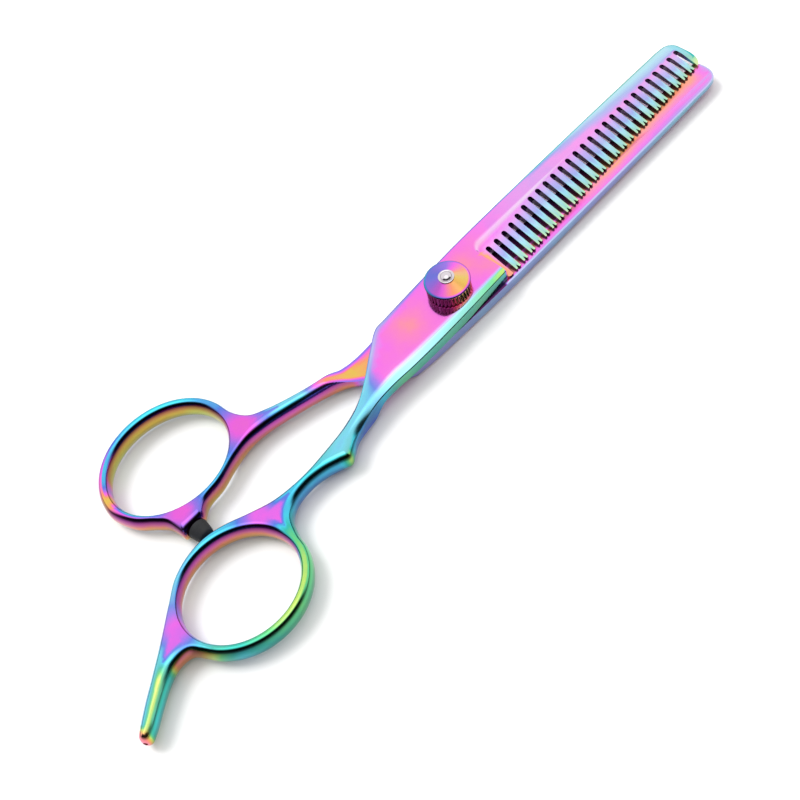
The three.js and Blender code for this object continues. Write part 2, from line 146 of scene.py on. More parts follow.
def slot_wall_foot(x, y, offset):
    """Where a slot wall that starts beside its root centre (x, y) meets the line of the tips."""
    top = np.array([x + offset * math.cos(SLOT_LEAN), y - offset * math.sin(SLOT_LEAN)])
    down = np.array([-math.sin(SLOT_LEAN), -math.cos(SLOT_LEAN)])
    reach = (top[1] - tip_line_y(top[0])) / math.cos(SLOT_LEAN)
    for _ in range(4):
        foot = top + down * reach
        reach += foot[1] - tip_line_y(foot[0])
    return top, top + down * reach


def tooth_edge():
    """The comb edge from the tip back to the first tooth: slots with round roots, notched teeth."""
    path = []
    for i in reversed(range(TOOTH_COUNT)):
        x = FIRST_SLOT_X + i * SLOT_SPACING
        y = float(slot_root_y(x))
        half = SLOT_WIDTH / 2
        right_top, right_foot = slot_wall_foot(x, y, half)
        left_top, left_foot = slot_wall_foot(x, y, -half)
        lean = math.degrees(SLOT_LEAN)
        root = arc(x, y, half, half, -lean, 180 - lean, 15)
        path += [tuple(right_foot), *root, tuple(left_foot)]
        if i > 0:
            middle = x - SLOT_SPACING / 2
            middle -= math.tan(SLOT_LEAN) * (slot_root_y(middle) - tip_line_y(middle))
            apex = (middle + NOTCH_DEPTH * math.sin(SLOT_LEAN), tip_line_y(middle) + NOTCH_DEPTH)
            right, left = middle + NOTCH_HALF_WIDTH, middle - NOTCH_HALF_WIDTH
            path += [(right, tip_line_y(right)), apex, (left, tip_line_y(left))]
    return np.array(path)


comb_forged = spline(
    [(9.9, -5.85), (0, -6.2), (-12, -6.4), (-17, -6.3), (-22, -6.0), (-27, -6.2), (-31, -7.0), (-34.4, -8.0),
     (-36.6, -9.3), HEEL, (-40.1, -9.5), (-43.2, -8.4), (-47, -7.9), (-51, -8.5), (-53.7, -10.2)]
    + ring_arc(FINGER_RING, -6, -160)
    + [(-84.2, -14.9), (-87, -14.7), (-90, -15.8), (-94, -18.1), (-97.1, -20.1)]
    + arc(*TANG_END, TANG_END_R, TANG_END_R, TANG_DEG - 90, TANG_DEG - 270, 20)
    + [(-96.2, -15.8), (-92.2, -13.1), (-84.5, -7.8), (-80.5, -4.9), (-76.5, -2.1), (-72, -0.5),
       (-67.4, -0.15), (-63.4, -1.0), (-58, -3.2), (-53, -4.8), (-46.5, -5.4), (-38.6, -4.8), (-33.6, -4.2),
       (-29, -3.1), (-25, -0.9), (-20, 2.5), (-15.2, 5.45), (-13, 5.6), (7, 6.5), (40, SPINE_Y),
       (67, SPINE_Y), (71, 6.9), (73.2, 6.55), (74.5, 5.3), (74.8, 3.2), (74.7, 0.3),
       (74.2, -1.2), (73.4, -1.9)])
comb_outline = np.vstack([comb_forged, tooth_edge(), [(10.6, -6.15)]])

straight_forged = np.vstack([
    spline([(12, 0.9), (9.6, 1.9), (7.6, 4.4), (4.5, 6.0), (0, 6.3), (-14, 5.9), (-18, 5.5), (-22, 5.5),
            (-26, 6.1), (-29.3, 6.8), (-36.6, 9.1), (-40.6, 10.7), (-43.6, 12.4), (-45.1, 15.2)]
           + ring_arc(THUMB_RING, 8, 180)
           + [(-73.5, 12.6), (-70.9, 9.3), (-69.5, 7.2), (-69.0, BOSS_Y)]),
    spline([(-69.0, BOSS_Y), (-63.9, BOSS_Y)])[1:],
    spline([(-63.9, BOSS_Y), (-61.5, 4.9), (-57, 5.6), (-52, 7.1), (-47.5, 7.9), (-43.4, 7.6), (-35.4, 5.6),
            (-27.3, 2.9), (-24.6, 1.0), (-22, -1.6), (-19, -4.1), (-16.2, -5.6)])[1:],
    spline([(-16.2, -5.6), (-12, -6.0), (-4, -6.3), (6, -6.55), (20, -6.7), (67, -6.75), (71, -6.7),
            (72.9, -6.2), (74.0, -4.7), (74.2, -2.3), (73.6, -0.55)])[1:]])


# ---- heights ----
SHARP_ROUND = 0.12  # small break on sharp edges
HANDLE_POWER = 2.15  # roundness of the handles' section: 2 is an ellipse


def face_height(x):
    """Height of a half's outer face above the plane between the halves, eased at its stations."""
    total = 0
    for shift in np.linspace(-3, 3, 7):
        total = total + np.interp(x + shift, [HANDLE_X, BODY_START_X, TAPER_START_X, TIP_X],
                                  [HANDLE_HALF_HEIGHT, PIVOT_THICK, PIVOT_THICK, TIP_THICK])
    return total / 7


def edge_drop(d, width, drop, power, bevel):
    """How far an edge lies below the face, at distance d in from the outline: rounded where bevel is
    0, and where it is 1 a slope that steepens outwards, with its sharp edge broken."""
    t = np.clip(1 - d / width, 0, 1)
    slope = t ** 1.6 + np.clip(1 - d / SHARP_ROUND, 0, 1) * 0.15
    return drop * lerp(1 - (1 - t ** power) ** (1 / power), slope, bevel)


def ring_reach(ring, x, y):
    return np.hypot((x - ring["x"]) / (ring["a"] + RING_WALL), (y - ring["y"]) / (ring["b"] + RING_WALL))


def handle_width(ring, x, y):
    """Width of the rounded edge on the handles: half the wall on a ring, more on the shank."""
    return lerp(RING_WALL / 2, 1.65, smoothstep(ring_reach(ring, x, y), 1.02, 1.3))


def on_spine(x, y):
    """Whether a point of the comb half's outline is on its spine side."""
    return y > lerp(-4.8, 0, smoothstep(x, -30, -10))


def lower_bevel(x):
    """Width of the bevel on the comb half's lower side."""
    return along(x, (-29, 1.6), (-20, 2.45), (-12, 2.4), (9, 1.65))


def comb_edge(x, y):
    """(width, drop, power, bevel) of the comb half's top edge at an outline point."""
    blade = smoothstep(x, -40, -27)
    spine = on_spine(x, y)
    width = np.where(spine, lerp(1.2, 0.6, smoothstep(x, -14, 4)), lower_bevel(x))
    drop = np.where(spine, 0.45, lerp(0.62, 0.42, smoothstep(x, -12, 9)))
    return (lerp(handle_width(FINGER_RING, x, y), width, blade), lerp(face_height(x), drop, blade),
            lerp(HANDLE_POWER, 1.6, blade), np.where(spine, 0.0, blade))


def straight_edge(x, y):
    """The same for the straight half's underside."""
    blade = smoothstep(x, -34, -18)
    size = lerp(0.85, 0.35, smoothstep(x, 20, 65))
    return (lerp(handle_width(THUMB_RING, x, y), size, blade), lerp(face_height(x), size, blade),
            lerp(HANDLE_POWER, 2.0, blade), 0.0 * x)


# ---- meshing a plan outline into a closed body ----
SHARES = [1 - math.cos(math.radians(k)) ** 0.75 for k in range(9, 91, 9)]


def near(points, line, closed):
    """For each point: distance to the polyline and the nearest place on it."""
    a = line if closed else line[:-1]
    b = np.roll(line, -1, 0) if closed else line[1:]
    best = np.full(len(points), 1e9)
    place = np.zeros((len(points), 2))
    ab = b - a
    length = (ab ** 2).sum(1)
    for i in range(0, len(points), 800):
        p = points[i:i + 800]
        t = np.clip(((p[:, None] - a) * ab).sum(2) / length, 0, 1)
        q = a + t[..., None] * ab
        d = np.linalg.norm(p[:, None] - q, axis=2)
        j = d.argmin(1)
        rows = np.arange(len(p))
        best[i:i + 800], place[i:i + 800] = d[rows, j], q[rows, j]
    return best, place


def inside(points, loops):
    """Even-odd test of points against closed loops."""
    hit = np.zeros(len(points), bool)
    for loop in loops:
        for (x0, y0), (x1, y1) in zip(loop, np.roll(loop, -1, 0)):
            if y0 == y1:
                continue
            crosses = (points[:, 1] < y0) != (points[:, 1] < y1)
            hit ^= crosses & (points[:, 0] < x0 + (points[:, 1] - y0) * (x1 - x0) / (y1 - y0))
    return hit


def inward(line, closed):
    """Unit normals of a polyline, to its left."""
    run = np.roll(line, -1, 0) - np.roll(line, 1, 0) if closed else np.gradient(line, axis=0)
    run /= np.linalg.norm(run, axis=1)[:, None]
    return np.column_stack([-run[:, 1], run[:, 0]])


class Plan:
    """Collects the points and lines that the triangles of a plan must follow."""

    def __init__(self):
        self.points, self.edges = [], []

    def line(self, path, closed=False):
        start = len(self.points)
        self.points += [tuple(p) for p in path]
        count = len(path)
        self.edges += [(start + i, start + (i + 1) % count) for i in range(count if closed else count - 1)]

    def runs(self, path, keep):
        """Adds the stretches of a path whose points are kept."""
        run = []
        for p, k in zip([*path, None], [*keep, False]):
            if k:
                run.append(p)
            elif run:
                self.line(run)
                run = []

    def triangles(self, loops):
        points, _, faces, *_ = delaunay_2d_cdt([Vector(p) for p in self.points], self.edges, [], 0, 1e-5)
        points = np.array([tuple(p) for p in points])
        faces = np.array([f for f in faces if len(f) == 3])
        keep = inside(points[faces].mean(1), loops)
        faces = faces[keep]
        used, faces = np.unique(faces, return_inverse=True)
        return points[used], faces.reshape(-1, 3)


def plan_mesh(loops, forged, edge, extra_lines, fine_x):
    """Triangulates a half in plan. forged holds (polyline, closed, edge is to its left) of its
    rounded outline. Returns points, triangles, distance to the rounded outline and its nearest place."""
    plan = Plan()
    for loop in loops:
        plan.line(loop, closed=True)
    for path, closed in extra_lines:
        plan.line(path, closed)

    def measure(points):
        found = [near(points, line, closed) for line, closed, _ in forged]
        d = np.array([f[0] for f in found])
        pick = d.argmin(0)
        place = np.array([f[1] for f in found])[pick, np.arange(len(points))]
        return d.min(0), place

    for line, closed, sign in forged:
        normal = inward(line, closed) * sign
        width = edge(line[:, 0], line[:, 1])[0]
        for offset in [SHARP_ROUND] + [share * width for share in SHARES]:
            offset = offset * np.ones(len(line))
            path = line + normal * offset[:, None]
            d, _ = measure(path)
            keep = (d > offset * 0.97) & inside(path, loops)
            if closed and keep.all():
                plan.line(path, closed=True)
            else:
                plan.runs(path, keep)

    lo, hi = loops[0].min(0), loops[0].max(0)
    for x0, x1, pitch in ((-36, hi[0], 1.3), (lo[0], -36, 0.6), (fine_x[0], fine_x[1], 0.3)):
        rows = np.arange(lo[1], hi[1], pitch * 0.87)
        grid = np.array([(x + pitch / 2 * (j % 2), y) for j, y in enumerate(rows)
                         for x in np.arange(x0, x1, pitch)])
        grid = grid[inside(grid, loops)]
        d, place = measure(grid)
        clear = near(grid, loops[0], True)[0]
        width = edge(place[:, 0], place[:, 1])[0]
        grid = grid[(d > width + pitch * 0.3) & (clear > pitch * 0.4)]
        plan.points += [tuple(p) for p in grid]

    points, triangles = plan.triangles(loops)
    d, place = measure(points)
    return points, triangles, d, place


def body(name, points, triangles, top, bottom):
    """Closed mesh object between two height fields over the same plan, in metres."""
    a, b, c = points[triangles].transpose(1, 0, 2)
    turn = (b - a)[:, 0] * (c - a)[:, 1] - (b - a)[:, 1] * (c - a)[:, 0]
    triangles = np.where((turn < 0)[:, None], triangles[:, ::-1], triangles)
    count = len(points)
    seen = dict.fromkeys((t[k - 1], t[k]) for t in triangles for k in (1, 2, 0))
    rim = [(i, j) for i, j in seen if (j, i) not in seen]
    top = np.maximum(top, bottom)
    vertices = np.vstack([np.column_stack([points, top]), np.column_stack([points, bottom])])
    faces = [tuple(t) for t in triangles] + [tuple(t[::-1] + count) for t in triangles]
    faces += [(j, i, i + count, j + count) for i, j in rim]
    return mesh_object(name, vertices, faces)


def mesh_object(name, vertices, faces, weld=0.002):
    """Object from vertices in mm, with z from the plane between the halves."""
    mesh = bpy.data.meshes.new(name)
    vertices = (np.array(vertices, float) + [0, 0, BLADE_PLANE_Z]) * MM
    mesh.from_pydata([tuple(v) for v in vertices], [], [tuple(int(i) for i in f) for f in faces])
    work = bmesh.new()
    work.from_mesh(mesh)
    bmesh.ops.remove_doubles(work, verts=work.verts, dist=weld * MM)
    bmesh.ops.dissolve_degenerate(work, edges=work.edges, dist=weld * MM / 4)
    bmesh.ops.recalc_face_normals(work, faces=work.faces)
    work.to_mesh(mesh)
    work.free()
    obj = bpy.data.objects.new(name, mesh)
    bpy.context.collection.objects.link(obj)
    return obj


def polish(obj, angle=32):
    """Smooth shading that keeps crisp edges, with flat faces left flat."""
    mesh = obj.data
    mesh.polygons.foreach_set("use_smooth", [True] * len(mesh.polygons))
    mesh.set_sharp_from_angle(angle=math.radians(angle))
    weighted = obj.modifiers.new("weighted", "WEIGHTED_NORMAL")
    weighted.keep_sharp = True
    return obj


def cut(obj, tool, operation="DIFFERENCE"):
    """Joins or cuts with another object, which is then thrown away."""
    step = obj.modifiers.new("cut", "BOOLEAN")
    step.operation, step.object, step.solver = operation, tool, "EXACT"
    graph = bpy.context.evaluated_depsgraph_get()
    mesh = bpy.data.meshes.new_from_object(obj.evaluated_get(graph))
    obj.modifiers.remove(step)
    old, obj.data = obj.data, mesh
    mesh.name = obj.name
    bpy.data.meshes.remove(old)
    bpy.data.objects.remove(tool)
    return obj


def turned(name, profile, segments=96, ripple=None):
    """Body of revolution about Z. The profile of (radius, z) climbs its outer side."""
    vertices, rows = [], []
    for k, (radius, z) in enumerate(profile):
        if radius == 0:
            rows.append([len(vertices)] * segments)
            vertices.append((0, 0, z))
            continue
        rows.append(list(range(len(vertices), len(vertices) + segments)))
        for i in range(segments):
            angle = 2 * math.pi * i / segments
            r = radius - (ripple(k, i) if ripple else 0)
            vertices.append((r * math.cos(angle), r * math.sin(angle), z))
    faces = []
    for low, high in zip(rows, rows[1:]):
        for i in range(segments):
            j = (i + 1) % segments
            quad = [low[i], low[j], high[j], high[i]]
            face = [v for n, v in enumerate(quad) if v not in quad[:n]]
            if len(face) > 2:
                faces.append(face)
    return mesh_object(name, vertices, faces, weld=0.0005)


def lay(obj, x, y, turn):
    """Turns a body about the origin of the blade plane, then moves it in plan."""
    lift = Matrix.Translation((0, 0, BLADE_PLANE_Z * MM))
    obj.data.transform(lift @ Matrix.Translation((x * MM, y * MM, 0)) @ turn @ lift.inverted())
    return obj


def block(name, lo, hi):
    corners = [(x, y, z) for x in (lo[0], hi[0]) for y in (lo[1], hi[1]) for z in (lo[2], hi[2])]
    faces = [(0, 1, 3, 2), (4, 6, 7, 5), (0, 4, 5, 1), (2, 3, 7, 6), (0, 2, 6, 4), (1, 5, 7, 3)]
    return mesh_object(name, corners, faces)


# ---- the comb half ----
RECESS_CORNER_R = 1.5
WALL_RUN = 0.2
STEP_LEAN = 2.6  # run of the soft step above the slots, per mm of its height


def tooth_z(x, y):
    return TOOTH_TIP_THICK + TOOTH_SLOPE * (y - tip_line_y(x))


def recess_foot_y(x):
    step = 2.1 + (x - COMB_START_X) * 2.5 / 65.7
    fade = tip_line_y(x) + (face_height(x) - TOOTH_TIP_THICK) / TOOTH_SLOPE
    return np.minimum(step, fade)


def recess_step_run(x):
    return np.maximum(0.02, STEP_LEAN * (face_height(x) - tooth_z(x, recess_foot_y(x))))


def recess_share(x, y):
    """0 on the ground face of the teeth, 1 on the outer face, rising across the recess wall."""
    left = COMB_START_X + WALL_RUN
    centre_x = left + RECESS_CORNER_R
    centre_y = recess_foot_y(np.full_like(x, centre_x)) - RECESS_CORNER_R
    out = np.where(x > centre_x, (y - recess_foot_y(x)) / recess_step_run(x), (left - x) / WALL_RUN)
    corner = (x <= centre_x) & (y > centre_y)
    angle = np.arctan2(y - centre_y, centre_x - x) / (math.pi / 2)
    run = lerp(WALL_RUN, recess_step_run(np.full_like(x, centre_x)), np.clip(angle, 0, 1))
    round_out = (np.hypot(x - centre_x, y - centre_y) - RECESS_CORNER_R) / run
    return smoothstep(np.where(corner, round_out, out), 0, 1)


def recess_line(share):
    """The recess wall's foot (share 0) or top (share 1) in plan."""
    left = COMB_START_X + WALL_RUN
    centre_x = left + RECESS_CORNER_R
    centre = np.array([centre_x, float(recess_foot_y(centre_x)) - RECESS_CORNER_R])
    path = [(left - share * WALL_RUN, y) for y in (-8, centre[1])]
    for degrees in range(10, 90, 10):
        run = lerp(WALL_RUN, float(recess_step_run(centre[0])), degrees / 90) * share
        angle = math.radians(180 - degrees)
        radius = RECESS_CORNER_R + run
        path.append((centre[0] + radius * math.cos(angle), centre[1] + radius * math.sin(angle)))
    for x in np.arange(centre[0], TIP_X + 1, 1.0):
        path.append((x, float(recess_foot_y(x) + share * recess_step_run(x))))
    return np.array(path)


def ramp(x):
    """The slope that clears the other half, from handle height down to the inner face, below z = 0."""
    rise = (HANDLE_HALF_HEIGHT + HALF_GAP) / (RAMP_FOOT_X - RAMP_TOP_X)
    slope = HALF_GAP + (x - RAMP_FOOT_X) * rise
    ease = 0.2  # rounding of the corner at its foot
    return np.where(slope > HALF_GAP + 3 * ease, HALF_GAP,
                    -np.logaddexp(-slope / ease, -HALF_GAP / ease) * ease)


def rounded_max(a, b, ease=0.22):
    return np.logaddexp(a / ease, b / ease) * ease


def build_comb():
    hole = ring_hole(FINGER_RING)
    bore = circle(BUSH_HOLE_R)
    loops = [comb_outline, hole, bore]
    forged = [(comb_forged, False, -1), (hole, True, -1)]
    lines = [(recess_line(share), False) for share in (0, 0.2, 0.4, 0.6, 0.8, 1)]
    points, triangles, d, place = plan_mesh(loops, forged, comb_edge, lines, (-31, -24))
    x, y = points.T
    shape = comb_edge(place[:, 0], place[:, 1])
    outer = face_height(x) - edge_drop(d, *shape)
    share = recess_share(x, y)
    top = np.where(x > COMB_START_X - 1e-6, lerp(np.minimum(tooth_z(x, y), outer), outer, share), outer)
    inner = np.minimum(ramp(x), HALF_GAP)
    bottom = np.where(x < SPLIT_X, rounded_max(-outer, inner), inner)
    bottom = np.where(x > SPLIT_START_X, HALF_GAP, np.minimum(bottom, HALF_GAP))
    bottom = np.where((x < RAMP_START_X) | (d < 1e-4) & (x < RAMP_TOP_X), -outer, bottom)
    half = body("comb_half_steel", points, triangles, top, bottom)
    dimple = turned("dimple", [(0, 0.2), (0.2, 0.25), (0.45, 0.6), (0.45, 4), (0, 4)], 32)
    turn = Matrix.Rotation(math.radians(TANG_DEG - 180), 4, "Z") @ Matrix.Rotation(math.radians(90), 4, "Y")
    return cut(half, lay(dimple, *TANG_END, turn))


# ---- the straight half ----
def build_straight():
    hole = ring_hole(THUMB_RING)
    bore = circle(SHAFT_HOLE_R)
    loops = [straight_forged, hole, bore]
    edge_start = np.argmin(np.linalg.norm(straight_forged - [73.6, -0.55], axis=1))
    forged = [(straight_forged[:edge_start + 1], False, 1), (hole, True, -1)]
    bevel_top = np.array([(COMB_START_X - 1, 0.95 - CUTTING_BEVEL_WIDTH),
                          (TIP_X + 1, -0.6 - CUTTING_BEVEL_WIDTH)])
    lines = [(bevel_top, False)]
    for radius in (WASHER_SEAT_R, HEAD_SEAT_R):
        lines += [(circle(radius), True), (circle(radius - SEAT_WALL), True)]
    lines += [(square(KEY_SEAT_HALF), True), (square(KEY_SEAT_HALF - SEAT_WALL), True)]
    points, triangles, d, place = plan_mesh(loops, forged, straight_edge, lines, (-31, -24))
    x, y = points.T
    shape = straight_edge(place[:, 0], place[:, 1])
    outer = face_height(x) - edge_drop(d, *shape)
    inner = -np.minimum(ramp(x), HALF_GAP)
    top = np.where(x < SPLIT_X, -rounded_max(-outer, -inner), inner)
    top = np.where(x > SPLIT_START_X, -HALF_GAP, np.maximum(top, -HALF_GAP))
    top = np.where((x < RAMP_START_X) | (d < 1e-4) & (x < RAMP_TOP_X), outer, top)
    top = np.where(x > SPLIT_START_X, top - np.clip(1 - d / 0.4, 0, 1) * 0.07, top)
    edge_y = lerp(0.9, -0.55, (x - 12) / 61.6)
    rise = (face_height(x) - CUTTING_EDGE_THICK) / CUTTING_BEVEL_WIDTH
    bevel = -face_height(x) + np.maximum(0, y - (edge_y - CUTTING_BEVEL_WIDTH)) * rise
    bottom = np.where(x > COMB_START_X, np.maximum(-outer, bevel), -outer)
    r = np.hypot(x, y)
    top = np.where(r < WASHER_SEAT_R - SEAT_WALL / 2, WASHER_SEAT_Z, top)
    bottom = np.where(r < HEAD_SEAT_R - SEAT_WALL / 2, HEAD_SEAT_Z, bottom)
    bottom = np.where(np.maximum(abs(x), abs(y)) < KEY_SEAT_HALF - SEAT_WALL / 2, KEY_SEAT_Z, bottom)
    half = body("straight_half_steel", points, triangles, top, bottom)
    stem_hole = turned("stem_hole", [(0, -1.8), (0.75, -1.8), (0.75, 1), (0, 1)], 32)
    return cut(half, lay(stem_hole, BUMPER_X, BOSS_Y, Matrix.Rotation(math.radians(90), 4, "X")))


comb_half = polish(build_comb())
straight_half = polish(build_straight())


# ---- pivot hardware ----
KNURL_TEETH, KNURL_POINTS = 36, 10
KNURL_DEPTH = 0.22


def dome(radius, z0, z1, steps=14):
    """Quarter-ellipse profile from a round edge up to the axis."""
    turn = [math.radians(90 * k / steps) for k in range(steps + 1)]
    return [(radius * math.cos(t) if t < turn[-1] else 0, lerp(z0, z1, math.sin(t))) for t in turn]


def rounded_ring(inner, outer, z0, z1, r=0.06):
    """Closed profile of a washer whose corners are broken."""
    return [(inner + r, z0), (outer - r, z0), (outer, z0 + r), (outer, z1 - r), (outer - r, z1),
            (inner + r, z1), (inner, z1 - r), (inner, z0 + r), (inner + r, z0)]


def build_dial():
    grip, low, high = 4.4, 3.1, 5.56
    fade = {low + 0.12: 0.6, high - 0.1: 0.7}
    levels = [low + 0.12] + list(np.linspace(low + 0.3, high - 0.3, 6)) + [high - 0.1]
    profile = [(3.75, low), (4.08, low)] + [(grip, z) for z in levels] + [(4.28, high)]
    profile += [(4.42, 5.6), (4.52, 5.66), (4.55, 5.75), (4.55, 5.84), (4.51, 5.93), (4.42, 5.99),
                (4.3, 6.03)]
    profile += [(lerp(4.3, 1.9, k / 8), lerp(6.03, 6.86, k / 8)) for k in range(1, 9)]
    profile += [(1.78, 6.89), (1.3, 6.9), (1.15, 6.87), (1.15, 5.8), (1.65, 5.8), (1.65, 4.05), (3.7, 4.05),
                (3.75, 4.0), (3.75, low)]
    first = 2
    last = first + len(levels) - 1

    def ripple(row, i):
        if not first <= row <= last:
            return 0
        wave = 0.5 - 0.5 * math.cos(2 * math.pi * i / KNURL_POINTS)
        return KNURL_DEPTH * (1 - wave ** 0.7) * fade.get(profile[row][1], 1)

    return turned("dial_coated", profile, KNURL_TEETH * KNURL_POINTS, ripple)


def build_bolt():
    bolt = turned("pivot_bolt_steel", [
        (0, -3), (3.88, -3), (3.97, -2.95), (4.0, -2.86), (4.0, -1.9), (3.95, -1.85), (2.0, -1.85),
        (2.0, 3.9), (1.95, 3.95), (1.6, 3.95), (1.6, 5.6), (1.5, 5.7), (0.8, 5.7), (0.8, 4.05), (0, 4.05)])
    return cut(bolt, block("key", (-2.1, -2.1, -1.95), (2.1, 2.1, -0.95)), "UNION")


def build_screw():
    return turned("retaining_screw_steel", [
        (0, 4.1), (0.68, 4.1), (0.75, 4.17), (0.75, 5.75), (1.1, 5.75), (1.1, 6.95), (1.5, 6.95),
        (1.58, 6.98), (1.6, 7.03), (1.58, 7.08), (1.5, 7.12), (1.4, 7.12), (1.28, 7.06),
        (1.2, 7.05)] + dome(1.15, 7.07, 7.75), 72)


def build_bumper():
    """Rubber bumper, drawn along Z with its stem up, then laid along Y."""
    end = BUMPER_END_Y - BOSS_Y
    profile = [(0, end), (1.2, end + 0.02), (1.45, end + 0.1), (1.62, end + 0.26), (1.7, end + 0.5)]
    profile += [(lerp(1.7, 2.08, k / 6) + 0.03 * math.sin(math.pi * k / 6), lerp(end + 0.5, -0.5, k / 6))
                for k in range(1, 7)]
    profile += [(2.1, -0.32), (2.05, -0.16), (1.92, -0.07), (1.7, -0.05), (0.7, -0.05), (0.7, 1.6),
                (0.6, 1.7), (0, 1.7)]
    piece = turned("bumper_rubber", profile, 64)
    return lay(piece, BUMPER_X, BOSS_Y, Matrix.Rotation(math.radians(-90), 4, "X"))


dial = polish(build_dial(), 50)
bolt = polish(build_bolt())
screw = polish(build_screw())
bumper = polish(build_bumper(), 50)
washer = polish(turned("friction_washer_nylon", rounded_ring(2.05, 4.6, -0.4, 0)))
bush = polish(turned("pivot_bush_nylon", rounded_ring(2.05, 2.8, 0.1, 2.95)))
spring = polish(turned("disc_spring_steel", [
    (2.05, 3.2), (3.55, 3.05), (3.6, 3.09), (3.6, 3.26), (3.55, 3.3), (2.1, 3.45), (2.05, 3.41),
    (2.05, 3.2)]))
plate = polish(turned("click_plate_steel", rounded_ring(2.05, 3.6, 3.55, 3.9)))


# ---- painting the thickness of the coating, and painted light and shade ----
# The colour of the coating follows its thickness. It is kept as one number that runs round a cycle:
# 0 gold, 0.1 peach, 0.18 pink, 0.27 magenta, 0.39 violet, 0.49 blue, 0.6 cyan, 0.7 teal, 0.8 green,
# 0.9 yellow-green, and gold again at 1. The hue also carries a few painted highlights. A second number,
# the tone, is painted light and shade: it shifts the colour towards near-white (painted highlight) below 0
# and towards near-black (painted shade and painted dark reflections) above it.
def corners(obj):
    """Position in mm and normal at every face corner."""
    mesh = obj.data
    index = np.zeros(len(mesh.loops), int)
    mesh.loops.foreach_get("vertex_index", index)
    co = np.zeros(len(mesh.vertices) * 3)
    mesh.vertices.foreach_get("co", co)
    co = co.reshape(-1, 3) / MM - [0, 0, BLADE_PLANE_Z]
    normal = np.zeros(len(mesh.loops) * 3)
    mesh.corner_normals.foreach_get("vector", normal)
    return co, index, normal.reshape(-1, 3)


def paint(obj, name, values):
    layer = obj.data.attributes.new(name, "FLOAT", "CORNER")
    layer.data.foreach_set("value", np.ascontiguousarray(values, np.float32))


def lobe(angle, towards, power=1.5):
    """1 in one direction round a ring, fading to 0 a quarter turn away."""
    return np.clip(np.cos(angle - math.radians(towards)), 0, 1) ** power


def spot(x, y, px, py, reach):
    """1 at a place in plan, fading out round it."""
    return np.exp(-((x - px) ** 2 + (y - py) ** 2) / reach ** 2)


def handle_parts(co, index, normal, outline, ring, webs):
    """What the painting of a handle depends on, at every face corner."""
    d_outer, place = near(co[:, :2], outline, False)
    d_hole, _ = near(co[:, :2], ring_hole(ring), True)
    x, y, z = co[index].T
    angle = np.arctan2(y - ring["y"], x - ring["x"])
    wall = smoothstep(normal[:, 2], 0.72, 0.35) * smoothstep(normal @ TOWARDS_VIEWER, -0.2, 0.25)
    # turn marks the band where a rounded edge turns towards the viewer; the handles' tone paints it
    # near-black as a painted dark reflection.
    turn = np.exp(-((normal[:, 2] - 0.6) / 0.2) ** 2) * smoothstep(normal @ TOWARDS_VIEWER, 0.2, 0.6)
    d = np.minimum(d_outer, d_hole)[index]
    web = smoothstep(d, 1.1, 2.3)
    for px, py, reach in webs:
        web = np.maximum(web, 1.1 * spot(x, y, px, py, reach))
    height = np.clip(z / HANDLE_HALF_HEIGHT * 0.5 + 0.5, 0, 1)
    turn = turn * smoothstep(x, -91, -86) * smoothstep(x, -33, -37)
    return d, (d_hole < d_outer)[index], angle, wall, np.clip(web, 0, 1), height, place[index], turn


